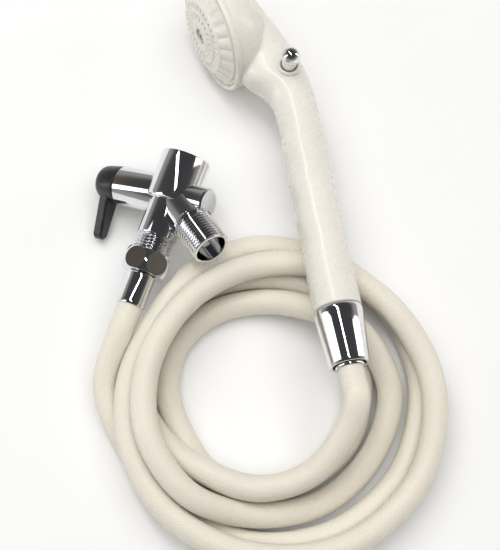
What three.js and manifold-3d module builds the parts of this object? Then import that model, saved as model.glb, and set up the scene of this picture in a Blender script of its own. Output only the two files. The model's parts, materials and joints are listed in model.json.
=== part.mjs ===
// Handheld bath sprayer with a coiled hose and a lever diverter valve. Millimetres, +Z up from the table.
import * as THREE from "three";
import { mergeVertices } from "three/addons/utils/BufferGeometryUtils.js";
import Module from "manifold-3d";

const wasm = await Module();
wasm.setup();

// Driving dimensions
const gap = 0.3; // clearance between touching pieces
const pipeRadius = 10.45; // half the outside diameter of a half-inch pipe thread
const pitch = 1.814; // of the same thread, 14 turns to the inch
const hoseRadius = 6.9;
const faceRadius = 34; // rim of the spray head

// Where each assembly lies on the table, with the middle of valve and handset together at the origin
const middle = new THREE.Vector3(-13.1, 50.4, 0);
const valveAt = new THREE.Vector3(-42.2, 34.9, 31.2).sub(middle);
const handsetAt = new THREE.Vector3(51.1, -63.8, 46).sub(middle);
const coilAt = new THREE.Vector3(3.5, -67.3, 0).sub(middle);
const inletAxis = new THREE.Vector3(0.338, 0.936, 0.098);
const barrelAxis = new THREE.Vector3(0.83, -0.377, 0.403);
const handleAxis = new THREE.Vector3(-0.176, 0.98, -0.079);
const handsetFront = new THREE.Vector3(-0.978, -0.164, 0.131);

// ---------- helpers ----------

// A group at a point, its own Z along zAxis and its own X as near xAxis as a right angle allows.
function frameAt(point, zAxis, xAxis) {
  const z = zAxis.clone().normalize();
  const y = z.clone().cross(xAxis).normalize();
  const group = new THREE.Group();
  group.quaternion.setFromRotationMatrix(new THREE.Matrix4().makeBasis(y.clone().cross(z), y, z));
  group.position.copy(point);
  group.updateMatrixWorld(true);
  return group;
}

function solid(geometry) {
  const plain = geometry.clone();
  plain.deleteAttribute("normal");
  plain.deleteAttribute("uv");
  const merged = mergeVertices(plain, 1e-4);
  const vertProperties = merged.attributes.position.array;
  return new wasm.Manifold(
    new wasm.Mesh({ numProp: 3, vertProperties, triVerts: new Uint32Array(merged.index.array) }),
  );
}

function geometryOf(made) {
  const mesh = made.getMesh();
  const geometry = new THREE.BufferGeometry();
  geometry.setAttribute("position", new THREE.BufferAttribute(mesh.vertProperties, 3));
  geometry.setIndex(new THREE.BufferAttribute(mesh.triVerts, 1));
  geometry.computeVertexNormals();
  return geometry;
}

// A body of revolution about Z from [radius, height] corners; a ring closes on its first corner.
function turned(profile, segments = 24) {
  const points = profile.map(([radius, height]) => new THREE.Vector2(radius, height));
  if (profile[0][0] > 0) points.push(points[0].clone());
  return solid(new THREE.LatheGeometry(points, segments).rotateX(Math.PI / 2));
}

const rod = (radius, from, to, segments = 20) =>
  turned([[0, from], [radius, from], [radius, to], [0, to]], segments);

const ring = (inner, outer, from, to, segments = 20) =>
  turned([[inner, from], [outer, from], [outer, to], [inner, to]], segments);

const block = (x, y, z) => solid(new THREE.BoxGeometry(x, y, z));

const unite = (solids) => solids.reduce((all, next) => all.add(next));

// Ring-shaped ridges of a male pipe thread, as [radius, height] corners from one height down to another.
function threadProfile(from, to) {
  const corners = [];
  const depth = 1.1;
  for (let z = from; z > to + pitch; z -= pitch) {
    corners.push([pipeRadius - depth, z], [pipeRadius, z - pitch / 2]);
  }
  corners.push([pipeRadius - depth / 2, to]);
  return corners;
}

// A closed skin through rings of points, each ring in order round the Z axis and higher than the last.
function skin(rings) {
  const count = rings[0].length;
  const vertices = rings.flat().flatMap((p) => [p.x, p.y, p.z]);
  const index = [];
  for (let k = 0; k + 1 < rings.length; k++) {
    for (let i = 0; i < count; i++) {
      const a = k * count + i;
      const b = k * count + ((i + 1) % count);
      index.push(a, b, b + count, a, b + count, a + count);
    }
  }
  const last = (rings.length - 1) * count;
  for (let i = 1; i + 1 < count; i++) {
    index.push(0, i + 1, i, last, last + i, last + i + 1);
  }
  const geometry = new THREE.BufferGeometry();
  geometry.setAttribute("position", new THREE.Float32BufferAttribute(vertices, 3));
  geometry.setIndex(index);
  return solid(geometry);
}

function addPart(group, name, made, material) {
  const mesh = new THREE.Mesh(geometryOf(made), material());
  mesh.name = name;
  group.add(mesh);
}

// ---------- materials ----------

const material = (color, roughness, metalness) => () =>
  new THREE.MeshStandardMaterial({ color, roughness, metalness });
const creamPlastic = material(0xe4e0d7, 0.32, 0);
const creamVinyl = material(0xded8cb, 0.5, 0);
const chrome = material(0xc9ccd0, 0.08, 1);
const steel = material(0xb4b6b8, 0.25, 1);
const brass = material(0xb89a56, 0.35, 1);
const blackPlastic = material(0x141415, 0.4, 0);
const rubber = material(0x1c1c1d, 0.8, 0);

// ---------- diverter valve: Z towards the inlet, X from the lever to the end cap ----------

const inletRadius = 14;
const inletTop = 22.5;
const barrelRadius = 11;
const barrelStart = -33.6;
const chamberRadius = 8.3;
const chamberEnd = 9;
const stubRadius = 8.3;
const stubEnd = 23.8;
const plugRadius = 5.4;
const plugStart = 20;
const runEnd = -38;
const branchTurn = 124; // degrees from the inlet's axis round to the branch's
const branchEnd = 42.7;
const stemRadius = 3.6;

const alongBarrel = (made) => made.rotate([0, 90, 0]); // Z to X
const alongBranch = (made) => made.rotate([0, branchTurn, 0]);

function valveBody() {
  const inlet = turned([
    [0, -5], [10.6, -5], [13.2, -4.4], [inletRadius, -3],
    [inletRadius, inletTop - 0.8], [inletRadius - 0.8, inletTop], [0, inletTop],
  ], 30);
  const runTop = -25;
  const run = turned([
    ...threadProfile(runTop, runEnd), [0, runEnd], [0, 0], [barrelRadius, 0], [barrelRadius, runTop + 0.6],
  ].reverse());
  const barrel = alongBarrel(turned([
    [0, barrelStart], [barrelRadius - 0.6, barrelStart], [barrelRadius, barrelStart + 0.6],
    [barrelRadius, chamberEnd - 1], [stubRadius, chamberEnd + 2], [stubRadius, stubEnd - 0.9],
    [stubRadius - 0.9, stubEnd], [0, stubEnd],
  ]));
  const collarStart = 21;
  const collarEnd = 23.4;
  const branch = alongBranch(turned([
    [0, 0], [pipeRadius, 0], [pipeRadius, collarStart], [pipeRadius + 1, collarStart + 0.4],
    [pipeRadius + 1, collarEnd], ...threadProfile(-collarEnd, -branchEnd).map(([r, z]) => [r, -z]),
    [0, branchEnd],
  ]));
  const shape = unite([inlet, run, barrel, branch]);
  return shape
    .subtract(rod(9.5, 12, inletTop + 1, 24))
    .subtract(rod(6, runEnd - 1, 13))
    .subtract(alongBarrel(rod(chamberRadius, barrelStart - 1, chamberEnd, 24)))
    .subtract(alongBarrel(rod(plugRadius + gap, plugStart - gap, stubEnd + 1)))
    .subtract(alongBranch(rod(8.5, 27, branchEnd + 1, 24)))
    .subtract(alongBranch(rod(5, 6, 28)));
}

const glandEnd = -26;

// Closes the barrel behind the lever and carries the stem.
const gland = () => alongBarrel(ring(stemRadius + gap, chamberRadius - gap, barrelStart + 0.2, glandEnd));

const drumRadius = chamberRadius - gap;
const stemEnd = -41;
const spoolRings = [-21, -13]; // heights of its two O-rings along the barrel
const ringHalf = 1;

// The hollow drum that the lever turns: a wide inlet window and two outlet windows a quarter turn apart.
function spool() {
  const drumEnd = chamberEnd - gap;
  const groove = drumRadius - 1.8;
  const grooves = spoolRings.flatMap((z) => [
    [drumRadius, z - ringHalf - gap], [groove, z - ringHalf - gap],
    [groove, z + ringHalf + gap], [drumRadius, z + ringHalf + gap],
  ]);
  const drum = turned([
    [0, stemEnd], [stemRadius, stemEnd], [stemRadius, glandEnd + gap], [drumRadius, glandEnd + gap],
    ...grooves, [drumRadius, drumEnd], [0, drumEnd],
  ]);
  const hollow = rod(5, -8, drumEnd - 2);
  const inletWindow = block(20, 18, 9).translate([-8, 0, -1.5]);
  const runWindow = rod(4, 0, 12, 20).rotate([0, 90, 0]);
  const branchWindow = rod(2.6, 0, 12, 16).rotate([-90, 0, 0]).translate([0, 0, 4]);
  const screwHole = rod(screwRadius + gap, stemEnd - 1, stemEnd + 8, 16);
  return alongBarrel(drum.subtract(unite([hollow, inletWindow, runWindow, branchWindow, screwHole])));
}

const spoolRing = (z) =>
  alongBarrel(ring(drumRadius - 1.5, chamberRadius - 0.1, z - ringHalf, z + ringHalf));

const screwRadius = 1.7;
const leverStart = barrelStart - 0.4;
const hubEnd = leverStart - 14;
const screwHead = 3.2;

// Round-ended hub and tapered blade; the blade lies along the run, turned a little towards the table.
function lever() {
  const bladeLength = 32;
  const rootHalf = 6;
  const tipHalf = 3.5;
  const bladeDepth = 6;
  const bladeTurn = 13;
  const bladeStart = leverStart - 4;
  const bevel = 0.8;
  const outline = new THREE.Shape();
  outline.moveTo(0, -rootHalf + bevel);
  outline.lineTo(bladeLength - tipHalf, -tipHalf + bevel);
  outline.absarc(bladeLength - tipHalf, 0, tipHalf - bevel, -Math.PI / 2, Math.PI / 2, false);
  outline.lineTo(0, rootHalf - bevel);
  const blade = new THREE.ExtrudeGeometry(outline, {
    depth: bladeDepth - 2 * bevel, bevelThickness: bevel, bevelSize: bevel, bevelSegments: 1, curveSegments: 8,
  }).translate(0, 0, bladeStart - bladeDepth + bevel);
  const hub = turned([
    [0, hubEnd], [6.2, hubEnd], [8.2, hubEnd + 1], [9.3, hubEnd + 3], [9.7, hubEnd + 6],
    [10.6, leverStart - 0.5], [10.1, leverStart], [0, leverStart],
  ]);
  const made = hub
    .add(solid(blade).rotate([0, 0, bladeTurn]))
    .subtract(rod(stemRadius + gap, stemEnd - gap, leverStart + 1))
    .subtract(rod(screwRadius + gap, hubEnd - 1, stemEnd, 16))
    .subtract(rod(screwHead + gap, hubEnd - 1, hubEnd + 2));
  return alongBarrel(made);
}

function leverScrew() {
  const made = turned([
    [0, hubEnd + 0.2], [screwHead, hubEnd + 0.2], [screwHead, hubEnd + 1.7], [screwRadius, hubEnd + 1.7],
    [screwRadius, stemEnd + 7], [0, stemEnd + 7],
  ], 20);
  return alongBarrel(made.subtract(block(1, 2 * screwHead + 1, 1.4).translate([0, 0, hubEnd])));
}

// Closes the end of the stub opposite the lever.
const endPlug = () => alongBarrel(turned([
  [0, plugStart], [plugRadius, plugStart], [plugRadius, stubEnd - 0.3], [plugRadius - 0.5, stubEnd + 0.2],
  [0, stubEnd + 0.2],
]));

const inletWasher = () => ring(6, 9.2, 12.3, 14.3);

const nutTop = -34;
const nutBottom = -46;
const nutHalf = 12; // half the size across its flats
const nutWall = 3;
const shankRadius = 6.1;

function hexNut() {
  const corner = nutHalf / Math.cos(Math.PI / 6);
  const middleHeight = (nutTop + nutBottom) / 2;
  const prism = new THREE.CylinderGeometry(corner, corner, nutTop - nutBottom, 6)
    .rotateX(Math.PI / 2)
    .rotateZ(Math.PI / 6);
  const rounding = new THREE.SphereGeometry(nutHalf + 1.5, 32, 20);
  return solid(prism)
    .intersect(solid(rounding))
    .translate([0, 0, middleHeight])
    .subtract(rod(pipeRadius + gap, nutBottom + nutWall, nutTop + 1, 24))
    .subtract(rod(shankRadius + gap, nutBottom - 1, nutTop));
}

const washerBottom = runEnd - gap - 1.7;
const valveWasher = () => ring(shankRadius, pipeRadius - 0.2, washerBottom, runEnd - gap);

// A flanged insert that carries the hose; its shank points down from the flange's underside.
function hoseTail(flangeRadius, flangeBottom, flangeTop, shankEnd) {
  return turned([
    [3.8, shankEnd], [shankRadius, shankEnd], [shankRadius, flangeBottom], [flangeRadius, flangeBottom],
    [flangeRadius, flangeTop], [3.8, flangeTop],
  ]);
}

// A sleeve crimped round the end of the hose, closed in to the shank at its upper end.
function ferrule(top, length) {
  const inner = hoseRadius + gap;
  const outer = inner + 0.6;
  return turned([
    [inner, top - length], [outer - 0.3, top - length], [outer, top - length + 1.5], [outer, top - 0.7],
    [outer - 0.7, top], [shankRadius + gap, top], [shankRadius + gap, top - 1.5], [inner, top - 1.5],
  ]);
}

const valveHoseEnd = -50.2;
const valve = frameAt(valveAt, inletAxis, barrelAxis);
addPart(valve, "valve_body", valveBody(), chrome);
addPart(valve, "gland", gland(), brass);
addPart(valve, "end_plug", endPlug(), chrome);
addPart(valve, "inlet_washer", inletWasher(), rubber);
addPart(valve, "spool", spool(), brass);
addPart(valve, "spool_oring_a", spoolRing(spoolRings[0]), rubber);
addPart(valve, "spool_oring_b", spoolRing(spoolRings[1]), rubber);
addPart(valve, "lever", lever(), blackPlastic);
addPart(valve, "lever_screw", leverScrew(), steel);
addPart(valve, "hex_nut", hexNut(), chrome);
addPart(valve, "valve_washer", valveWasher(), rubber);
addPart(valve, "valve_tail", hoseTail(10.3, nutBottom + nutWall + gap, washerBottom - gap, valveHoseEnd + gap), brass);
addPart(valve, "valve_ferrule", ferrule(nutBottom - gap, 18), chrome);

// ---------- handset: Z along the handle to the head, X to its front, Y through the neck ----------

const coneTop = 31;
const neckBore = 6;
const spigotRadius = 9.3;
const spigotEnd = 16;
const pinX = 1.2;
const pinZ = 172;
const pinRadius = 4.2;
const collarTop = 14.6;
const bossBottom = -16;
const rimX = 38;
const rimZ = 206;
const faceTurn = 106.3; // degrees from the handle's axis round to the face's
const plateRadius = faceRadius - 3.2;
const seatHeight = -9.3; // where the water distributor rests, below the rim
const postTop = -10.5;

const toFace = (made) => made.rotate([0, faceTurn, 0]).translate([rimX, 0, rimZ]);
const acrossNeck = (made) => made.rotate([-90, 0, 0]).translate([pinX, 0, pinZ]); // Z to Y

// Height, back, front and half width of the handle and of the back of the head.
const handleOutline = [
  [coneTop + gap, -12.9, 12.9, 12.9],
  [56, -12.6, 12.4, 12.5],
  [105, -12.7, 11.8, 12.2],
  [134, -12.9, 11.1, 12],
  [149, -13.1, 10.8, 12],
  [157, -12.9, 12.2, 12.3],
  [164, -12.4, 16.5, 12.6],
  [170, -11.6, 23, 12.9],
  [176, -10.4, 26.5, 13.4],
  [184, -7.6, 27.5, 15],
  [192, -4, 28, 17],
  [202, 1, 27, 18],
  [212, 6, 26, 17],
  [219, 10.4, 23, 12],
];

function outlineAt(z) {
  const next = Math.max(1, handleOutline.findIndex((row) => row[0] >= z));
  const [low, high] = [handleOutline[next - 1], handleOutline[next]];
  const share = (z - low[0]) / (high[0] - low[0]);
  return low.map((value, k) => value + share * (high[k] - value));
}

// Finger waves on the front, dying away at both ends.
function waveAt(z) {
  const [start, end, wave] = [60, 148, 22];
  if (z < start || z > end) return 0;
  return -0.45 * (1 - Math.cos((2 * Math.PI * (z - start)) / wave));
}

function handleSkin() {
  const heights = handleOutline.map((row) => row[0]);
  for (let z = 63; z < 150; z += 7.3) heights.push(z);
  heights.sort((a, b) => a - b);
  const sides = 20;
  const rings = heights.map((height) => {
    const [z, back, front, half] = outlineAt(height);
    return Array.from({ length: sides }, (_, i) => {
      const turn = (2 * Math.PI * i) / sides;
      const reach = (front - back) / 2;
      const wave = Math.max(0, Math.cos(turn)) * waveAt(z);
      return new THREE.Vector3(
        (front + back) / 2 + reach * Math.cos(turn) + wave, half * Math.sin(turn), z,
      );
    });
  });
  return skin(rings);
}

function handsetShell() {
  const bowl = turned([
    [0, -29.5], [13, -28.2], [22, -24.6], [29, -18.4], [32.8, -11.5], [faceRadius, -6],
    [faceRadius, -1], [faceRadius - 0.8, 0], [0, 0],
  ], 32);
  const hollow = turned([
    [0, -26.4], [12, -25], [20, -21.2], [26, -15.6], [28.5, -10], [28.5, seatHeight],
    [plateRadius + 0.4, seatHeight], [plateRadius + 0.4, 1], [0, 1],
  ], 28);
  const post = rod(4.5, -27.5, postTop).subtract(rod(screwRadius + gap, -18, postTop + 1, 16));
  const collar = rod(6.2, 0, collarTop);
  const boss = turned([[0, bossBottom], [7.6, bossBottom], [9, bossBottom + 1.6], [9, 0], [0, 0]]);
  const duct = rod(5, 0, 26).rotate([0, 45, 0]).translate([pinX, 0, pinZ]);
  const outside = unite([handleSkin(), toFace(bowl), acrossNeck(collar), acrossNeck(boss),
    rod(spigotRadius, spigotEnd, coneTop + 1)]);
  return outside
    .subtract(toFace(hollow))
    .add(toFace(post))
    .subtract(rod(neckBore, spigotEnd - 1, pinZ + 3))
    .subtract(duct)
    .subtract(acrossNeck(rod(pinRadius + gap, bossBottom - 1, collarTop + 1)));
}

// Ribbed cone, two slotted rings and a recess for the screw.
function faceplate() {
  const ribs = 22;
  const coneFoot = 0.2;
  const coneHead = 5;
  const profile = [
    [0, -5], [plateRadius, -5], [plateRadius, -0.8], [29.6, -1.2], [29.1, coneFoot], [25.2, 2.6],
    [21.4, coneHead], [20.6, 5.4], [15.8, 5.4], [15.4, 6.2], [9.2, 6.3], [8.6, 6.7], [4.6, 6.7],
    [4.3, 4], [0, 4],
  ].map(([radius, height]) => new THREE.Vector2(radius, height));
  const shape = new THREE.LatheGeometry(profile, 2 * ribs);
  const place = shape.getAttribute("position");
  for (let i = 0; i < place.count; i++) {
    const height = place.getY(i);
    if (height < coneFoot || height > coneHead) continue;
    const [x, z] = [place.getX(i), place.getZ(i)];
    if (Math.hypot(x, z) < 10) continue;
    const scallop = 1 + 0.022 * Math.cos(ribs * Math.atan2(x, z));
    place.setX(i, x * scallop);
    place.setZ(i, z * scallop);
  }
  const slots = [[12.3, 12], [18.2, 18]].flatMap(([radius, count]) =>
    Array.from({ length: count }, (_, i) =>
      block(2.4, 1, 20).translate([radius, 0, 0]).rotate([0, 0, (360 * i) / count])));
  return toFace(solid(shape.rotateX(Math.PI / 2))
    .subtract(unite(slots))
    .subtract(rod(screwRadius + gap, -6, 5, 16)));
}

const faceGasket = () => toFace(ring(23, plateRadius, -6.7, -5 - gap));

function distributor() {
  const holes = Array.from({ length: 12 }, (_, i) =>
    rod(2, -12, 0, 12).translate([15, 0, 0]).rotate([0, 0, 30 * i]));
  return toFace(rod(plateRadius - 0.2, seatHeight + gap, -7, 28)
    .subtract(unite(holes))
    .subtract(rod(screwRadius + gap, -12, 0, 16)));
}

function faceScrew() {
  const made = turned([
    [0, -16], [screwRadius, -16], [screwRadius, 4.3], [3.7, 4.3], [3.7, 5.2], [2.6, 6], [0, 6.2],
  ], 20);
  return toFace(made.subtract(block(0.9, 8, 1.4).translate([0, 0, 6])));
}

function coneNut() {
  const shoulder = [7, 10.7];
  return turned([
    [8.7, 0.6], [9.3, 0], [10, 0], [10.6, 0.9], [12.9, coneTop - 3.4], [13, coneTop - 1.4],
    [12.6, coneTop - 0.4], [11.8, coneTop], [spigotRadius + 0.4, coneTop], [spigotRadius + 0.4, shoulder[1]],
    [shankRadius + 0.4, shoulder[1]], [shankRadius + 0.4, shoulder[0]], [8.7, shoulder[0]],
  ]);
}

const tailFlange = [11, 13.2];
const handsetHoseEnd = 2.6;
const handsetWasher = () => ring(neckBore, spigotRadius - 0.2, tailFlange[1] + gap, spigotEnd - gap);

const ballAt = collarTop + 8.4;
const ballRadius = 5.15;
const pinEnd = bossBottom - 0.2;
const pinRings = [-7, 7];
const studRadius = 2;

function shutoffPin() {
  const groove = pinRadius - 1.4;
  const grooves = pinRings.flatMap((y) => [
    [pinRadius, y - 1.2], [groove, y - 1.2], [groove, y + 1.2], [pinRadius, y + 1.2],
  ]);
  const joinAngle = Math.asin(pinRadius / ballRadius);
  const ball = [];
  for (let turn = Math.PI - joinAngle; turn > 0.01; turn -= (Math.PI - joinAngle) / 6) {
    ball.push([ballRadius * Math.sin(turn), ballAt + ballRadius * Math.cos(turn)]);
  }
  return acrossNeck(turned([
    [0, pinEnd - 3], [studRadius, pinEnd - 3], [studRadius, pinEnd], [pinRadius, pinEnd],
    ...grooves, ...ball, [0, ballAt + ballRadius],
  ], 20));
}

const pinRing = (y) => acrossNeck(ring(pinRadius - 1.1, pinRadius + 0.2, y - 0.9, y + 0.9));

const pinButton = () => acrossNeck(turned([
  [studRadius + gap, pinEnd - gap], [6.2, pinEnd - gap], [6.2, pinEnd - 2.6], [5, pinEnd - 4],
  [0, pinEnd - 4.4], [0, pinEnd - 3.4], [studRadius + gap, pinEnd - 3.4],
].reverse()));

const handset = frameAt(handsetAt, handleAxis, handsetFront);
addPart(handset, "handset_shell", handsetShell(), creamPlastic);
addPart(handset, "faceplate", faceplate(), creamPlastic);
addPart(handset, "face_gasket", faceGasket(), rubber);
addPart(handset, "distributor", distributor(), creamPlastic);
addPart(handset, "face_screw", faceScrew(), steel);
addPart(handset, "cone_nut", coneNut(), chrome);
addPart(handset, "handset_washer", handsetWasher(), rubber);
addPart(handset, "shutoff_pin", shutoffPin(), chrome);
addPart(handset, "pin_oring_a", pinRing(pinRings[0]), rubber);
addPart(handset, "pin_oring_b", pinRing(pinRings[1]), rubber);
addPart(handset, "pin_button", pinButton(), creamPlastic);
addPart(handset, "handset_tail", hoseTail(spigotRadius, tailFlange[0], tailFlange[1], handsetHoseEnd + gap), brass);
addPart(handset, "handset_ferrule", ferrule(6.6, 8), chrome);

// ---------- hose ----------

// Radius and height of the hose's middle line about the coil's upright axis, every thirty degrees clockwise.
const coilStart = -30;
const coil = [
  [53.5, 40], [56, 28.5], [55.5, 22.4], [53.5, 21.5], [57.8, 16.2], [63.5, 7.8],
  [64.5, 7.2], [63.5, 7.2], [63.5, 7.2], [64.5, 7.2], [58.5, 7.2], [55.5, 7.2],
  [55.5, 7.2], [54, 7.2], [52.5, 7.2], [51, 7.2], [46.5, 7.2], [48, 7.2],
  [49.5, 7.2], [49, 7.2], [49, 7.8], [51, 16], [61, 22], [71, 11],
  [70.5, 7.5], [69.5, 7.5], [67.5, 12], [68.5, 26.5], [63.5, 33], [58, 33],
  [55.5, 33], [58, 29], [65.5, 21.8], [75, 20.4], [83.5, 21.4], [93, 20.8],
  [98, 18.2], [96, 18.2], [89, 20], [82, 20.4], [74, 21.7], [67.3, 21.7],
  [63.5, 21.6], [70, 20], [79.5, 10.5], [82.5, 7.5], [85.5, 7.2], [88, 7.2],
  [88, 7.2], [86, 7.2], [82, 7.2], [76, 7.2], [73.8, 7.8], [80.5, 12],
];

function hoseCurve() {
  const fromHandset = [handsetHoseEnd, -8, -17].map((z) => handset.localToWorld(new THREE.Vector3(0, 0, z)));
  const toValve = [-78, -64, valveHoseEnd].map((z) => valve.localToWorld(new THREE.Vector3(0, 0, z)));
  const turns = coil.map(([radius, height], k) => {
    const turn = THREE.MathUtils.degToRad(coilStart - 30 * k);
    return new THREE.Vector3(coilAt.x + radius * Math.cos(turn), coilAt.y + radius * Math.sin(turn), height);
  });
  return new THREE.CatmullRomCurve3([...fromHandset, ...turns, ...toValve], false, "centripetal");
}

function hose() {
  const sides = 10;
  const section = new THREE.Shape(Array.from({ length: sides }, (_, i) => {
    const turn = (2 * Math.PI * i) / sides;
    return new THREE.Vector2(hoseRadius * Math.cos(turn), hoseRadius * Math.sin(turn));
  }));
  return solid(new THREE.ExtrudeGeometry(section, { steps: 80, extrudePath: hoseCurve() }));
}

const sprayer = new THREE.Group();
sprayer.name = "handheld_bath_sprayer";
sprayer.add(valve, handset);
addPart(sprayer, "hose", hose(), creamVinyl);

export default sprayer;
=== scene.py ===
import json
import math

import bmesh
import bpy
from mathutils import Euler, Matrix, Vector


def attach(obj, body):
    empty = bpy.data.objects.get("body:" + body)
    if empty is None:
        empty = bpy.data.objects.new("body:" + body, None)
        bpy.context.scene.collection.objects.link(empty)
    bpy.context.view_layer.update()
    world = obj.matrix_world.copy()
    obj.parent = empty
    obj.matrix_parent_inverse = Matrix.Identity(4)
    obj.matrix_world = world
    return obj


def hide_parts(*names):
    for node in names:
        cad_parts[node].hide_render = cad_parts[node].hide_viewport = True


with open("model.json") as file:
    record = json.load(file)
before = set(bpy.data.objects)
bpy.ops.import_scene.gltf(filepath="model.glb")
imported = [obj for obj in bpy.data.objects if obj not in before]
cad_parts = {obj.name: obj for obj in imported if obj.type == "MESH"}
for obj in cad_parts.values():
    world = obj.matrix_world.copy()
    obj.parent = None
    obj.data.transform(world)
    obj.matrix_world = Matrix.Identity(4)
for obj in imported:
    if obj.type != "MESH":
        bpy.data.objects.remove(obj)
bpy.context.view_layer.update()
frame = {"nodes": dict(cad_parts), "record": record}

# ---------- driving dimensions, as in the CAD ----------

MM = 0.001  # profiles are written in millimetres and built in metres
PIPE_RADIUS = 10.45  # half the outside diameter of a half-inch pipe thread
THREAD_DEPTH = 1.1
PITCH = 1.814
INLET_RADIUS = 14
BARREL_RADIUS = 11
STUB_RADIUS = 8.3
NUT_TOP = -34
NUT_BOTTOM = -46
NUT_HALF = 12  # half the size across its flats
LEVER_START = -34
HUB_END = -48
CONE_TOP = 31
FACE_RADIUS = 34
PLATE_RADIUS = FACE_RADIUS - 3.2
PIN_RADIUS = 4.2
COLLAR_TOP = 14.6
BOSS_BOTTOM = -16
PIN_END = BOSS_BOTTOM - 0.2
HOSE_RADIUS = 6.9 * MM
MIDDLE = Vector((-13.1, 50.4, 0)) * MM
VALVE_AT = Vector((-42.2, 34.9, 31.2)) * MM - MIDDLE
HANDSET_AT = Vector((51.1, -63.8, 46)) * MM - MIDDLE
COIL_AT = Vector((3.5, -67.3, 0)) * MM - MIDDLE


def frame_at(point, z_axis, x_axis):
    """A matrix at point with its Z along z_axis and its X as near x_axis as a right angle allows."""
    z = Vector(z_axis).normalized()
    y = z.cross(Vector(x_axis)).normalized()
    x = y.cross(z)
    turn = Matrix((x, y, z)).transposed().to_4x4()
    return Matrix.Translation(point) @ turn


def turn_y(degrees):
    return Matrix.Rotation(math.radians(degrees), 4, "Y")


VALVE = frame_at(VALVE_AT, (0.338, 0.936, 0.098), (0.83, -0.377, 0.403))
HANDSET = frame_at(HANDSET_AT, (-0.176, 0.98, -0.079), (-0.978, -0.164, 0.131))
BARREL = VALVE @ turn_y(90)
BRANCH = VALVE @ turn_y(124)
FACE = HANDSET @ Matrix.Translation(Vector((38, 0, 206)) * MM) @ turn_y(106.3)
PIN = HANDSET @ Matrix.Translation(Vector((1.2, 0, 172)) * MM) @ Matrix.Rotation(-math.pi / 2, 4, "X")

# ---------- camera ----------

ELEVATION = math.radians(72)
CAMERA_DISTANCE = 0.75
CAMERA_LENS = 88


def make_camera():
    data = bpy.data.cameras.new("camera")
    data.lens = CAMERA_LENS
    data.clip_start = 0.05
    camera = bpy.data.objects.new("camera", data)
    aim = -MIDDLE
    back = Vector((0, -math.cos(ELEVATION), math.sin(ELEVATION)))
    camera.location = aim + CAMERA_DISTANCE * back
    camera.rotation_euler = Euler((math.pi / 2 - ELEVATION, 0, 0))
    bpy.context.collection.objects.link(camera)
    bpy.context.scene.camera = camera


make_camera()

# ---------- materials ----------


class Nodes:
    """A material's node tree, with short calls to add to it."""

    def __init__(self, name):
        self.material = bpy.data.materials.new(name)
        self.material.use_nodes = True
        self.tree = self.material.node_tree
        self.shader = self.tree.nodes["Principled BSDF"]
        self.place = self.add("ShaderNodeTexCoord").outputs["Object"]

    def add(self, kind, **settings):
        node = self.tree.nodes.new(kind)
        for key, value in settings.items():
            setattr(node, key, value)
        return node

    def link(self, source, target):
        self.tree.links.new(source, target)

    def noise(self, scale, detail=4, stretch=None):
        node = self.add("ShaderNodeTexNoise")
        node.inputs["Scale"].default_value = scale
        node.inputs["Detail"].default_value = detail
        source = self.place
        if stretch:
            mapping = self.add("ShaderNodeMapping")
            mapping.inputs["Scale"].default_value = stretch
            self.link(source, mapping.inputs["Vector"])
            source = mapping.outputs["Vector"]
        self.link(source, node.inputs["Vector"])
        return node.outputs["Fac"]

    def ramp(self, source, low, high, start=0.35, end=0.65):
        """Values or colours from low to high as source goes from start to end."""
        node = self.add("ShaderNodeValToRGB")
        for stop, value, position in zip(node.color_ramp.elements, (low, high), (start, end)):
            stop.position = position
            stop.color = (value, value, value, 1) if isinstance(value, (int, float)) else (*value, 1)
        self.link(source, node.inputs["Fac"])
        return node.outputs["Color"]

    def math(self, operation, a, b=None):
        node = self.add("ShaderNodeMath", operation=operation)
        for socket, value in zip(node.inputs, (a, b)):
            if isinstance(value, (int, float)):
                socket.default_value = value
            elif value is not None:
                self.link(value, socket)
        return node.outputs["Value"]

    def mix(self, share, a, b):
        node = self.add("ShaderNodeMix", data_type="RGBA")
        for socket, value in ((node.inputs[0], share), (node.inputs[6], a), (node.inputs[7], b)):
            if isinstance(value, tuple):
                socket.default_value = (*value, 1)
            elif isinstance(value, (int, float)):
                socket.default_value = value
            else:
                self.link(value, socket)
        return node.outputs[2]

    def bump(self, height, strength, distance):
        node = self.add("ShaderNodeBump")
        node.inputs["Strength"].default_value = strength
        node.inputs["Distance"].default_value = distance
        self.link(height, node.inputs["Height"])
        self.link(node.outputs["Normal"], self.shader.inputs["Normal"])

    def set(self, **values):
        for key, value in values.items():
            socket = self.shader.inputs[key.replace("_", " ")]
            if isinstance(value, (int, float, tuple)):
                socket.default_value = value
            else:
                self.link(value, socket)


def cream_plastic():
    m = Nodes("cream_plastic")
    tint = m.ramp(m.noise(35), (0.765, 0.735, 0.665), (0.785, 0.755, 0.685))
    handled = m.ramp(m.noise(140, 6), (1, 1, 1), (0.93, 0.92, 0.90), 0.5, 0.8)
    node = m.add("ShaderNodeMix", data_type="RGBA", blend_type="MULTIPLY")
    node.inputs[0].default_value = 0.12
    m.link(tint, node.inputs[6])
    m.link(handled, node.inputs[7])
    m.set(Base_Color=node.outputs[2], Roughness=m.ramp(m.noise(260, 5), 0.22, 0.34))
    m.set(Subsurface_Weight=0.12, Subsurface_Scale=0.004, Coat_Weight=0.25, Coat_Roughness=0.12)
    m.shader.inputs["Subsurface Radius"].default_value = (1.0, 0.8, 0.55)
    m.bump(m.noise(900, 3), 0.04, 0.0002)
    return m.material


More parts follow.
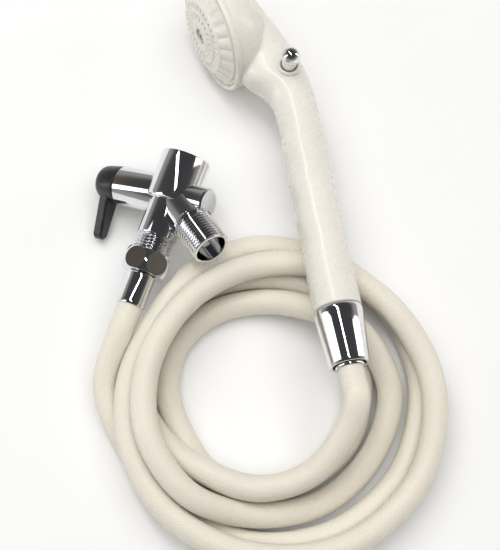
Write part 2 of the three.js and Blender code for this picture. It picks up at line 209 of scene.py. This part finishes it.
def cream_vinyl():
    """Clear vinyl over a braid: two families of cords cross on the tube; UV runs round and along it."""
    m = Nodes("cream_vinyl")
    uv = m.add("ShaderNodeTexCoord").outputs["UV"]
    split = m.add("ShaderNodeSeparateXYZ")
    m.link(uv, split.inputs[0])
    cords_round = 24
    cord_step = 1.9 * MM
    round_way = m.math("MULTIPLY", split.outputs[0], cords_round)
    along = m.math("MULTIPLY", split.outputs[1], 1 / cord_step)

    def strand(mixed):
        wave = m.math("SINE", m.math("MULTIPLY", mixed, math.pi))
        return m.math("ABSOLUTE", wave)

    first = strand(m.math("ADD", round_way, along))
    second = strand(m.math("SUBTRACT", round_way, along))
    cords = m.math("MULTIPLY", first, second)
    body = m.ramp(m.noise(30), (0.80, 0.76, 0.665), (0.83, 0.79, 0.70))
    dots = m.ramp(cords, (0.68, 0.61, 0.48), (0.84, 0.80, 0.72), 0.05, 0.75)
    m.set(Base_Color=m.mix(0.45, body, dots), Roughness=m.ramp(m.noise(180, 5), 0.28, 0.42))
    m.set(Subsurface_Weight=0.30, Subsurface_Scale=0.006, Coat_Weight=0.35, Coat_Roughness=0.2)
    m.shader.inputs["Subsurface Radius"].default_value = (1.0, 0.72, 0.42)
    height = m.math("ADD", cords, m.math("MULTIPLY", m.noise(700, 3), 0.3))
    m.bump(height, 0.6, 0.0003)
    return m.material


def chrome():
    m = Nodes("chrome")
    tint = m.ramp(m.noise(60), (0.74, 0.75, 0.77), (0.84, 0.85, 0.87))
    smudge = m.ramp(m.noise(90, 8), 0.03, 0.13, 0.45, 0.8)
    m.set(Base_Color=tint, Metallic=1.0, Roughness=smudge)
    m.bump(m.noise(420, 2), 0.03, 0.0002)
    return m.material


def steel():
    m = Nodes("steel")
    tint = m.ramp(m.noise(300, 6), (0.42, 0.43, 0.45), (0.60, 0.61, 0.62))
    m.set(Base_Color=tint, Metallic=1.0, Roughness=m.ramp(m.noise(500, 6), 0.2, 0.4))
    m.bump(m.noise(1500, 2, (1, 1, 0.1)), 0.15, 0.0001)
    return m.material


def brass():
    m = Nodes("brass")
    tint = m.ramp(m.noise(200, 6), (0.52, 0.36, 0.13), (0.68, 0.50, 0.22))
    m.set(Base_Color=tint, Metallic=1.0, Roughness=m.ramp(m.noise(400, 6), 0.25, 0.45))
    m.bump(m.noise(1300, 2), 0.1, 0.0001)
    return m.material


def black_plastic():
    m = Nodes("black_plastic")
    tint = m.ramp(m.noise(120, 6), (0.010, 0.010, 0.011), (0.024, 0.024, 0.025))
    m.set(Base_Color=tint, Roughness=m.ramp(m.noise(320, 6), 0.28, 0.45), Coat_Weight=0.1)
    m.bump(m.noise(1100, 3), 0.25, 0.0002)
    return m.material


def rubber():
    m = Nodes("rubber")
    tint = m.ramp(m.noise(220, 5), (0.015, 0.015, 0.016), (0.035, 0.034, 0.033))
    m.set(Base_Color=tint, Roughness=m.ramp(m.noise(400, 5), 0.65, 0.85))
    m.bump(m.noise(1200, 3), 0.2, 0.0002)
    return m.material


def floor_paint():
    m = Nodes("floor_paint")
    m.set(Base_Color=m.ramp(m.noise(3), (0.86, 0.86, 0.855), (0.89, 0.89, 0.885)))
    m.set(Roughness=m.ramp(m.noise(40), 0.75, 0.85))
    m.bump(m.noise(200), 0.02, 0.0002)
    return m.material


MATERIALS = {
    make.__name__: make()
    for make in (cream_plastic, cream_vinyl, chrome, steel, brass, black_plastic, rubber)
}

# ---------- mesh helpers ----------


def new_object(name, mesh, slot, body):
    piece = bpy.data.objects.new(name, mesh)
    bpy.context.collection.objects.link(piece)
    piece.data.materials.append(MATERIALS[slot])
    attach(piece, body)
    return piece


def soften(mesh, degrees=32):
    """Smooth shading, but for edges sharper than this."""
    mesh.polygons.foreach_set("use_smooth", [True] * len(mesh.polygons))
    mesh.set_sharp_from_angle(angle=math.radians(degrees))


def add_bevel(piece, width, segments=2):
    bevel = piece.modifiers.new("bevel", "BEVEL")
    bevel.width = width
    bevel.segments = segments
    bevel.limit_method = "ANGLE"
    bevel.angle_limit = math.radians(32)
    bevel.harden_normals = True


def grid(points, wrap_rows=False):
    """Vertices and quads of rows of points, each row a closed loop."""
    count = len(points[0])
    vertices = [point for row in points for point in row]
    rows = len(points)
    quads = []
    for k in range(rows if wrap_rows else rows - 1):
        for i in range(count):
            j = (i + 1) % count
            up = (k + 1) % rows
            quads.append((k * count + i, k * count + j, up * count + j, up * count + i))
    return vertices, quads


def add_shell(bm, points, place, wrap_rows=False, caps=False):
    """Adds a skin through rows of points to bm; place is its matrix."""
    vertices, quads = grid(points, wrap_rows)
    made = [bm.verts.new(place @ Vector(v)) for v in vertices]
    for quad in quads:
        bm.faces.new([made[k] for k in quad])
    if caps:
        count = len(points[0])
        bm.faces.new(reversed(made[:count]))
        bm.faces.new(made[-count:])


def turned_rows(profile, segments, radius_at=None):
    """Rows of a body of revolution about Z from (radius, height) corners in millimetres."""
    rows = []
    for radius, height in profile:
        row = []
        for i in range(segments):
            turn = 2 * math.pi * i / segments
            r = max(radius, 0.001)
            if radius_at:
                r = radius_at(r, height, turn)
            row.append((r * math.cos(turn) * MM, r * math.sin(turn) * MM, height * MM))
        rows.append(row)
    return rows


def mesh_of(bm, name, degrees=32):
    bmesh.ops.remove_doubles(bm, verts=bm.verts, dist=2e-6)
    bmesh.ops.recalc_face_normals(bm, faces=bm.faces)
    mesh = bpy.data.meshes.new(name)
    bm.to_mesh(mesh)
    bm.free()
    soften(mesh, degrees)
    return mesh


def turned(name, profile, place, slot, body, node, segments=96, bevel=0.2, ring=False):
    """A turned piece that stands for one CAD node."""
    bm = bmesh.new()
    add_shell(bm, turned_rows(profile, segments), place, wrap_rows=ring)
    piece = new_object(name, mesh_of(bm, name), slot, body)
    if bevel:
        add_bevel(piece, bevel * MM)
    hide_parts(node)
    return piece


# ---------- hose ----------

HANDSET_HOSE_END = 2.6
VALVE_HOSE_END = -50.2
COIL_START = -30
# Radius and height of the hose's middle line about the coil's axis, every thirty degrees clockwise.
COIL = [
    (53.5, 40), (56, 28.5), (55.5, 22.4), (53.5, 21.5), (57.8, 16.2), (63.5, 7.8),
    (64.5, 7.2), (63.5, 7.2), (63.5, 7.2), (64.5, 7.2), (58.5, 7.2), (55.5, 7.2),
    (55.5, 7.2), (54, 7.2), (52.5, 7.2), (51, 7.2), (46.5, 7.2), (48, 7.2),
    (49.5, 7.2), (49, 7.2), (49, 7.8), (51, 16), (61, 22), (71, 11),
    (70.5, 7.5), (69.5, 7.5), (67.5, 12), (68.5, 26.5), (63.5, 33), (58, 33),
    (55.5, 33), (58, 29), (65.5, 21.8), (75, 20.4), (83.5, 21.4), (93, 20.8),
    (98, 18.2), (96, 18.2), (89, 20), (82, 20.4), (74, 21.7), (67.3, 21.7),
    (63.5, 21.6), (70, 20), (79.5, 10.5), (82.5, 7.5), (85.5, 7.2), (88, 7.2),
    (88, 7.2), (86, 7.2), (82, 7.2), (76, 7.2), (73.8, 7.8), (80.5, 12),
]


def hose_points():
    points = [HANDSET @ Vector((0, 0, z * MM)) for z in (HANDSET_HOSE_END, -8, -17)]
    for k, (radius, height) in enumerate(COIL):
        turn = math.radians(COIL_START - 30 * k)
        way = Vector((math.cos(turn), math.sin(turn), 0))
        points.append(COIL_AT + radius * MM * way + Vector((0, 0, height * MM)))
    points += [VALVE @ Vector((0, 0, z * MM)) for z in (-78, -64, VALVE_HOSE_END)]
    return points


def centripetal(points, steps):
    """Points on the centripetal Catmull-Rom curve through points, steps to a span."""
    first = 2 * points[0] - points[1]
    last = 2 * points[-1] - points[-2]
    padded = [first, *points, last]
    line = []
    for k in range(1, len(padded) - 2):
        a, b, c, d = padded[k - 1:k + 3]
        spans = [max((q - p).length ** 0.5, 1e-6) for p, q in ((a, b), (b, c), (c, d))]
        start = (b - a) / spans[0] - (c - a) / (spans[0] + spans[1]) + (c - b) / spans[1]
        end = (c - b) / spans[1] - (d - b) / (spans[1] + spans[2]) + (d - c) / spans[2]
        start *= spans[1]
        end *= spans[1]
        for i in range(steps):
            t = i / steps
            line.append(
                (2 * t**3 - 3 * t**2 + 1) * b + (t**3 - 2 * t**2 + t) * start
                + (3 * t**2 - 2 * t**3) * c + (t**3 - t**2) * end
            )
    line.append(points[-1])
    return line


def make_hose():
    line = centripetal(hose_points(), 14)
    sides = 28
    bm = bmesh.new()
    uv_layer = bm.loops.layers.uv.new("UVMap")
    normal = (line[1] - line[0]).orthogonal().normalized()
    rings, lengths = [], []
    length = 0
    for k, point in enumerate(line):
        ahead = (line[min(k + 1, len(line) - 1)] - line[max(k - 1, 0)]).normalized()
        normal = (normal - normal.dot(ahead) * ahead).normalized()
        side = ahead.cross(normal)
        if k:
            length += (point - line[k - 1]).length
        lengths.append(length)
        ring = []
        for i in range(sides):
            turn = 2 * math.pi * i / sides
            out = math.cos(turn) * normal + math.sin(turn) * side
            ring.append(bm.verts.new(point + HOSE_RADIUS * out))
        rings.append(ring)
    for k in range(len(rings) - 1):
        for i in range(sides):
            j = (i + 1) % sides
            face = bm.faces.new((rings[k][i], rings[k][j], rings[k + 1][j], rings[k + 1][i]))
            for loop, (row, turn) in zip(face.loops, ((k, i), (k, i + 1), (k + 1, i + 1), (k + 1, i))):
                loop[uv_layer].uv = (turn / sides, lengths[row])
    bm.faces.new(rings[0][::-1])
    bm.faces.new(rings[-1])
    mesh = bpy.data.meshes.new("braided_hose")
    bmesh.ops.recalc_face_normals(bm, faces=bm.faces)
    bm.to_mesh(mesh)
    bm.free()
    soften(mesh, 60)
    hose = new_object("braided_hose", mesh, "cream_vinyl", "valve_and_hose")
    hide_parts("hose")
    return hose, line, length


def crimped(name, top, length, place, node):
    inner = HOSE_RADIUS / MM + 0.12
    outer = HOSE_RADIUS / MM + 0.9
    profile = [
        (inner, top - length), (outer - 0.3, top - length), (outer - 0.02, top - length + 0.8),
        (outer, top - length + 1.5), (outer - 0.12, top - length + 2.4), (outer - 0.12, top - 3),
        (outer, top - 2), (outer, top - 0.7), (outer - 0.7, top), (6.4, top), (6.4, top - 1.5),
        (inner, top - 1.5),
    ]
    return turned(name, profile, place, "chrome", "valve_and_hose", node, ring=True, bevel=0.12)


hose, hose_line, hose_length = make_hose()
handset_ferrule = crimped("handset_crimp", 6.6, 8, HANDSET, "handset_ferrule")
valve_ferrule = crimped("valve_crimp", -46.3, 18, VALVE, "valve_ferrule")

# ---------- diverter valve ----------


def thread_rows(start, end, segments=72):
    """Rows of a real screw thread from one height to another; the ridge dies away at both ends."""
    step = 0.15
    rows = []
    count = int((end - start) / step)
    for k in range(count + 1):
        z = start + (end - start) * k / count
        fade = min(1, (z - start) / 0.9 + 0.1, (end - z) / 0.9 + 0.35)
        row = []
        for i in range(segments):
            turn = 2 * math.pi * i / segments
            phase = (z / PITCH - i / segments) % 1
            ridge = min(1, max(0, 1.45 * (1 - abs(2 * phase - 1)) - 0.2))
            radius = PIPE_RADIUS - THREAD_DEPTH + THREAD_DEPTH * ridge * fade
            row.append((radius * math.cos(turn) * MM, radius * math.sin(turn) * MM, z * MM))
        rows.append(row)
    return rows


def make_valve_body():
    bm = bmesh.new()
    inlet = [
        (0, -5), (10.6, -5), (12.6, -4.7), (13.6, -4), (INLET_RADIUS, -3), (INLET_RADIUS, 21.7),
        (INLET_RADIUS - 0.2, 22.3), (INLET_RADIUS - 0.8, 22.5),
        (9.9, 22.5), (9.5, 22.1), (9.5, 12), (0, 12),
    ]
    add_shell(bm, turned_rows(inlet, 128), VALVE)
    run = [(0, 0), (BARREL_RADIUS, 0), (BARREL_RADIUS, 24.2), (10.7, 24.8), (9.35, 25)]
    flip = Matrix.Rotation(math.pi, 4, "X")
    add_shell(bm, turned_rows(run, 128), VALVE @ flip)
    add_shell(bm, thread_rows(25, 38), VALVE @ flip)
    add_shell(bm, turned_rows([(9.9, 38), (6, 38), (6, 15), (0, 15)], 72), VALVE @ flip)
    barrel = [
        (3.9, -33.4), (8.2, -33.6), (10.4, -33.6), (BARREL_RADIUS, -33), (BARREL_RADIUS, 8), (10.6, 8.8),
        (8.5, 10.6), (STUB_RADIUS, 11.4), (STUB_RADIUS, 22.9), (7.4, 23.8),
        (5.45, 23.8), (5.45, 20), (0, 20),
    ]
    add_shell(bm, turned_rows(barrel, 128), BARREL)
    branch = [
        (0, 0), (PIPE_RADIUS, 0), (PIPE_RADIUS, 21), (11.2, 21.2), (11.45, 21.6), (11.45, 22.9),
        (11.2, 23.3), (9.35, 23.4),
    ]
    add_shell(bm, turned_rows(branch, 128), BRANCH)
    add_shell(bm, thread_rows(23.4, 42.7), BRANCH)
    add_shell(bm, turned_rows([(9.9, 42.7), (8.8, 42.7), (8.5, 42.4), (8.5, 27), (0, 27)], 72), BRANCH)
    piece = new_object("diverter_body", mesh_of(bm, "diverter_body", 28), "chrome", "valve_and_hose")
    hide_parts("valve_body")


def make_end_plug():
    turned(
        "stub_plug", [(0, 20), (5.4, 20), (5.4, 23.74), (5.34, 23.8), (0, 23.8)], BARREL, "chrome",
        "valve_and_hose", "end_plug", bevel=0.1,
    )


def boolean(piece, other, operation):
    modifier = piece.modifiers.new("cut", "BOOLEAN")
    modifier.object = other
    modifier.operation = operation
    modifier.solver = "EXACT"
    bpy.context.view_layer.update()
    mesh = bpy.data.meshes.new_from_object(piece.evaluated_get(bpy.context.evaluated_depsgraph_get()))
    piece.modifiers.clear()
    piece.data = mesh
    bpy.data.objects.remove(other)


def plain_object(name, rows, place):
    bm = bmesh.new()
    add_shell(bm, rows, place)
    piece = bpy.data.objects.new(name, mesh_of(bm, name))
    bpy.context.collection.objects.link(piece)
    return piece


def make_hex_nut():
    corner = NUT_HALF / math.cos(math.pi / 6)
    prism_rows = turned_rows([(0, NUT_BOTTOM), (corner, NUT_BOTTOM), (corner, NUT_TOP), (0, NUT_TOP)], 6)
    nut = plain_object("hose_nut", prism_rows, VALVE)
    ball = NUT_HALF + 1.5
    middle = (NUT_TOP + NUT_BOTTOM) / 2
    turns = [math.pi * k / 32 for k in range(33)]
    rounding = [(ball * math.sin(turn), middle - ball * math.cos(turn)) for turn in turns]
    boolean(nut, plain_object("rounding", turned_rows(rounding, 128), VALVE), "INTERSECT")
    bore = turned_rows([(0, -47), (6.4, -47), (6.4, -43), (10.75, -43), (10.75, -33), (0, -33)], 72)
    boolean(nut, plain_object("bore", bore, VALVE), "DIFFERENCE")
    nut.data.materials.clear()
    nut.data.materials.append(MATERIALS["chrome"])
    soften(nut.data, 20)
    add_bevel(nut, 0.25 * MM)
    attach(nut, "valve_and_hose")
    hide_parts("hex_nut")


def make_lever():
    """Round-ended hub and a tapered blade with bevelled edges."""
    start = LEVER_START
    end = HUB_END
    blade_start = start - 4
    blade_turn = 13
    bm = bmesh.new()
    hub = [
        (3.5, end + 2), (3.5, end), (4.8, end), (6.6, end + 0.35), (7.8, end + 1), (8.7, end + 2),
        (9.3, end + 3.4), (9.6, end + 5), (9.9, end + 7), (10.6, start - 0.8), (10.5, start - 0.3),
        (10.1, start),
        (3.9, start), (3.9, start - 5), (3.5, start - 5),
    ]
    add_shell(bm, turned_rows(hub, 96), BARREL, wrap_rows=True)
    length, root, tip, depth, bevel = 32, 6, 3.5, 6, 0.9
    blade = BARREL @ Matrix.Rotation(math.radians(blade_turn), 4, "Z")
    rows = []
    for inset, z in ((bevel, 0), (0, bevel), (0, depth - bevel), (bevel, depth)):
        outline = [(4.5, -root + inset)]
        for k in range(13):
            turn = math.pi * (k / 12 - 0.5)
            radius = tip - inset
            outline.append((length - tip + radius * math.cos(turn), radius * math.sin(turn)))
        outline.append((4.5, root - inset))
        rows.append([(x * MM, y * MM, (blade_start - z) * MM) for x, y in outline])
    add_shell(bm, rows, blade, caps=True)
    piece = new_object("lever_handle", mesh_of(bm, "lever_handle", 28), "black_plastic", "lever")
    add_bevel(piece, 0.35 * MM, 3)
    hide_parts("lever")


make_valve_body()
make_end_plug()
make_hex_nut()
make_lever()

# ---------- handset ----------

# Height, back, front and half width of the handle and of the back of the head.
HANDLE_OUTLINE = [
    (31.3, -12.9, 12.9, 12.9),
    (56, -12.6, 12.4, 12.5),
    (105, -12.7, 11.8, 12.2),
    (134, -12.9, 11.1, 12),
    (149, -13.1, 10.8, 12),
    (157, -12.9, 12.2, 12.3),
    (164, -12.4, 16.5, 12.6),
    (170, -11.6, 23, 12.9),
    (176, -10.4, 26.5, 13.4),
    (184, -7.6, 27.5, 15),
    (192, -4, 28, 17),
    (202, 1, 27, 18),
    (212, 6, 26, 17),
    (219, 10.4, 23, 12),
]


def outline_at(z):
    rows = HANDLE_OUTLINE
    k = next(i for i in range(1, len(rows)) if rows[i][0] >= z or i == len(rows) - 1)
    before = rows[max(k - 2, 0)]
    low, high = rows[k - 1], rows[k]
    after = rows[min(k + 1, len(rows) - 1)]
    t = (z - low[0]) / (high[0] - low[0])

    def smooth(j):
        span = high[0] - low[0]
        slope_low = (high[j] - before[j]) / max(high[0] - before[0], 1e-6) * span
        slope_high = (after[j] - low[j]) / max(after[0] - low[0], 1e-6) * span
        return (
            (2 * t**3 - 3 * t**2 + 1) * low[j] + (t**3 - 2 * t**2 + t) * slope_low
            + (3 * t**2 - 2 * t**3) * high[j] + (t**3 - t**2) * slope_high
        )

    return smooth(1), smooth(2), smooth(3)


def wave_at(z):
    start, end, wave = 60, 148, 22
    if z < start or z > end:
        return 0
    return -0.45 * (1 - math.cos(2 * math.pi * (z - start) / wave))


def handle_rows():
    rows = []
    low, high = HANDLE_OUTLINE[0][0], HANDLE_OUTLINE[-1][0]
    count = 130
    for k in range(count + 1):
        z = low + (high - low) * k / count
        back, front, half = outline_at(z)
        row = []
        for i in range(72):
            turn = 2 * math.pi * i / 72
            wave = max(0, math.cos(turn)) * wave_at(z)
            x = (front + back) / 2 + (front - back) / 2 * math.cos(turn) + wave
            row.append((x * MM, half * math.sin(turn) * MM, z * MM))
        rows.append(row)
    return rows


def remeshed(name, parts, voxel, rounds):
    """One smooth skin over overlapping closed shells, as one moulding; its voxels lie along the handle."""
    bm = bmesh.new()
    for rows, place, caps in parts:
        add_shell(bm, rows, HANDSET.inverted() @ place, caps=caps)
    piece = bpy.data.objects.new(name, mesh_of(bm, name))
    bpy.context.collection.objects.link(piece)
    remesh = piece.modifiers.new("remesh", "REMESH")
    remesh.mode = "VOXEL"
    remesh.voxel_size = voxel
    smooth = piece.modifiers.new("smooth", "SMOOTH")
    smooth.factor = 0.5
    smooth.iterations = rounds
    bpy.context.view_layer.update()
    mesh = bpy.data.meshes.new_from_object(piece.evaluated_get(bpy.context.evaluated_depsgraph_get()))
    bpy.data.objects.remove(piece)
    mesh.transform(HANDSET)
    return mesh


def make_handset_shell():
    bowl = [
        (0, -29.5), (6.5, -29.2), (13, -28.2), (18, -26.7), (22, -24.6), (25.9, -21.9), (29, -18.4),
        (31.2, -15.1), (32.8, -11.5), (33.6, -8.6), (34, -6), (34, -3.2), (0, -3.2),
    ]
    boss = [(0, 0), (9, 0), (9, -14.4), (8.4, -15.5), (7.4, BOSS_BOTTOM), (0, BOSS_BOTTOM)]
    parts = [
        (handle_rows(), HANDSET, True),
        (turned_rows(bowl, 96), FACE, False),
        (turned_rows(boss, 64), PIN, False),
    ]
    mesh = remeshed("handset_body", parts, 0.5 * MM, 28)
    bm = bmesh.new()
    bm.from_mesh(mesh)
    rim = [
        (33.3, -4.6), (33.9, -3.4), (34.05, -2), (34, -0.9), (33.6, -0.25), (33, 0), (32.2, -0.1),
        (31.6, -0.6), (31.2, -1.4), (31.2, -4.6),
    ]
    add_shell(bm, turned_rows(rim, 160), FACE, wrap_rows=True)
    collar = [
        (4.55, 8), (6.6, 11), (6.3, 13.4), (6.15, 14.2), (5.8, 14.6), (4.9, 14.6), (4.55, 14.2), (4.55, 11),
    ]
    add_shell(bm, turned_rows(collar, 72), PIN, wrap_rows=True)
    piece = new_object("handset_moulding", mesh_of(bm, "handset_moulding", 50), "cream_plastic", "handset")
    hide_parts("handset_shell")


RIBS = 22
FACE_PROFILE = [
    (0, 4), (4.3, 4), (4.6, 6.5), (4.9, 6.7), (8.4, 6.7), (8.8, 6.5), (9.2, 6.3), (15.2, 6.2), (15.5, 6),
    (15.8, 5.5), (20.3, 5.4), (20.9, 5.3), (21.4, 5), (25.2, 2.6), (29.1, 0.2), (29.6, -1.2),
    (PLATE_RADIUS, -1.2), (PLATE_RADIUS + 0.25, -0.9), (PLATE_RADIUS + 0.3, -5), (0, -5),
]


def face_radii():
    """The face's profile with enough rows for its slots and ribs."""
    rows = []
    for (r0, z0), (r1, z1) in zip(FACE_PROFILE, FACE_PROFILE[1:]):
        fine = 0.3 if 9 <= r0 < 29.5 and z0 > -1 else 5
        count = max(1, round(abs(r1 - r0) / fine))
        rows += [(r0 + (r1 - r0) * k / count, z0 + (z1 - z0) * k / count) for k in range(count)]
    rows.append(FACE_PROFILE[-1])
    return rows


def smooth_step(low, high, value):
    t = min(1, max(0, (value - low) / (high - low)))
    return t * t * (3 - 2 * t)


def slot_depth(radius, turn):
    """How far the face is cut away there: two rings of slots."""
    depth = 0
    for ring, count in ((12.3, 24), (18.2, 34)):
        across = abs(((turn * count / (2 * math.pi) + 0.5) % 1) - 0.5) * 2 * math.pi * radius / count
        along = abs(radius - ring)
        inside = (1 - smooth_step(0.3, 0.62, across)) * (1 - smooth_step(1.2, 1.6, along))
        depth = max(depth, 0.9 * inside)
    return depth


def make_faceplate():
    segments = RIBS * 36
    rows = []
    for radius, height in face_radii():
        row = []
        for i in range(segments):
            turn = 2 * math.pi * i / segments
            r, z = max(radius, 0.001), height
            if 21.4 < radius < 29.4 and height > -0.6:
                fade = smooth_step(21.4, 22.6, radius) * (1 - smooth_step(28.5, 29.3, radius))
                scallop = abs(math.sin(RIBS * turn / 2))
                z -= 0.9 * fade * (1 - scallop)
            if height > 4.5 and radius > 5:
                z -= slot_depth(radius, turn)
            row.append((r * math.cos(turn) * MM, r * math.sin(turn) * MM, z * MM))
        rows.append(row)
    bm = bmesh.new()
    add_shell(bm, rows, FACE)
    piece = new_object("spray_face", mesh_of(bm, "spray_face", 45), "cream_plastic", "handset")
    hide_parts("faceplate")


def make_face_screw():
    segments = 96
    rows = []
    profile = [(0, 4.2), (3.6, 4.2), (3.75, 4.6), (3.7, 5.2)]
    dome = [math.pi / 2 * k / 12 for k in range(13)]
    profile += [(3.7 * math.cos(turn), 5.2 + 0.95 * math.sin(turn)) for turn in dome]
    for radius, height in profile:
        row = []
        for i in range(segments):
            turn = 2 * math.pi * i / segments
            r, z = max(radius, 0.001), height
            cross = min(abs(math.sin(turn)), abs(math.cos(turn))) * r
            if height > 5.2 and r < 2.4 and cross < 0.5:
                z -= 0.8 * (1 - smooth_step(0.3, 0.5, cross))
            row.append((r * math.cos(turn) * MM, r * math.sin(turn) * MM, z * MM))
        rows.append(row)
    bm = bmesh.new()
    add_shell(bm, rows, FACE)
    piece = new_object("face_screw_head", mesh_of(bm, "face_screw_head", 40), "steel", "handset")
    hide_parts("face_screw")


def make_cone_nut():
    profile = [
        (8.7, 0.8), (8.9, 0.3), (9.3, 0.05), (9.7, 0), (10.1, 0.15), (10.5, 0.7), (10.7, 1.6),
        (12.85, 27.4), (13, 28.8), (12.95, 29.7), (12.7, 30.5), (12.3, 30.9), (11.8, CONE_TOP),
        (9.7, CONE_TOP),
        (9.7, 10.7), (6.5, 10.7), (6.5, 7), (8.7, 7),
    ]
    turned(
        "handle_nut", profile, HANDSET, "chrome", "handset", "cone_nut", ring=True, segments=128, bevel=0,
    )


def make_pin():
    ball_at = COLLAR_TOP + 8.4
    ball = 5.15
    join = math.asin(PIN_RADIUS / ball)
    profile = [
        (0, PIN_END - 3), (2, PIN_END - 3), (2, PIN_END), (PIN_RADIUS, PIN_END),
        (PIN_RADIUS, ball_at - ball * math.cos(join) - 0.6),
    ]
    for k in range(25):
        turn = (math.pi - join) * (1 - k / 24)
        profile.append((ball * math.sin(turn), ball_at + ball * math.cos(turn)))
    turned("push_pin", profile, PIN, "chrome", "shutoff_pin", "shutoff_pin", bevel=0)
    button = [
        (2.3, -16.5), (5.9, -16.5), (6.2, -16.8), (6.2, -18.6), (6, -19.4), (5.3, -20.2), (4, -20.5),
        (0, -20.6), (0, -19.6), (2.3, -19.6),
    ]
    turned("push_button", button, PIN, "cream_plastic", "shutoff_pin", "pin_button", bevel=0.1, ring=True)


make_handset_shell()
make_faceplate()
make_face_screw()
make_cone_nut()
make_pin()

# ---------- CAD pieces that stay ----------

CAD_SLOTS = {row["node"]: row["material_slot"] for row in frame["record"]["subparts"]}


def dress_cad_nodes():
    for name, node in frame["nodes"].items():
        for slot in node.material_slots:
            slot.material = MATERIALS[CAD_SLOTS[name]]


dress_cad_nodes()

# ---------- floor and light ----------


def make_floor():
    half = 3.0
    mesh = bpy.data.meshes.new("floor")
    corners = [(-half, -half, 0), (half, -half, 0), (half, half, 0), (-half, half, 0)]
    mesh.from_pydata(corners, [], [(0, 1, 2, 3)])
    mesh.materials.append(floor_paint())
    floor = bpy.data.objects.new("floor", mesh)
    floor.location.z = -0.0002
    bpy.context.collection.objects.link(floor)


def make_light(name, place, size, power, glossy, colour=(1, 1, 1)):
    data = bpy.data.lights.new(name, "AREA")
    data.shape = "RECTANGLE"
    data.size, data.size_y = size
    data.energy = power
    data.color = colour
    light = bpy.data.objects.new(name, data)
    light.location = place
    light.rotation_euler = (-Vector(place)).to_track_quat("-Z", "Y").to_euler()
    light.visible_glossy = glossy
    bpy.context.collection.objects.link(light)


def make_world():
    """A studio that is pale at the horizon and dark grey overhead, for the chrome to reflect."""
    world = bpy.data.worlds.new("room")
    world.use_nodes = True
    tree = world.node_tree
    background = tree.nodes["Background"]
    split = tree.nodes.new("ShaderNodeSeparateXYZ")
    tree.links.new(tree.nodes.new("ShaderNodeTexCoord").outputs["Generated"], split.inputs[0])
    ramp = tree.nodes.new("ShaderNodeValToRGB")
    stops = ramp.color_ramp.elements
    stops[0].position = 0.0
    stops[0].color = (0.72, 0.73, 0.75, 1)
    stops[1].position = 1.0
    stops[1].color = (0.10, 0.10, 0.105, 1)
    stops.new(0.3).color = (0.55, 0.53, 0.50, 1)
    stops.new(0.5).color = (0.20, 0.17, 0.14, 1)
    stops.new(0.62).color = (0.12, 0.12, 0.125, 1)
    tree.links.new(split.outputs["Z"], ramp.inputs["Fac"])
    tree.links.new(ramp.outputs["Color"], background.inputs["Color"])
    background.inputs["Strength"].default_value = 0.5
    bpy.context.scene.world = world
    bpy.context.scene.view_settings.view_transform = "Standard"


make_floor()
make_light("overhead", (0.0, 0.1, 1.5), (2.2, 2.2), 29, False)
make_light("strip", (-0.2, 0.3, 1.3), (0.14, 1.5), 4, True)
make_light("left_side", (-1.3, -0.2, 0.6), (0.4, 1.2), 3.5, True)
make_light("right_side", (1.4, 0.3, 0.5), (0.3, 1.0), 2.5, True, (1, 0.96, 0.9))
make_world()
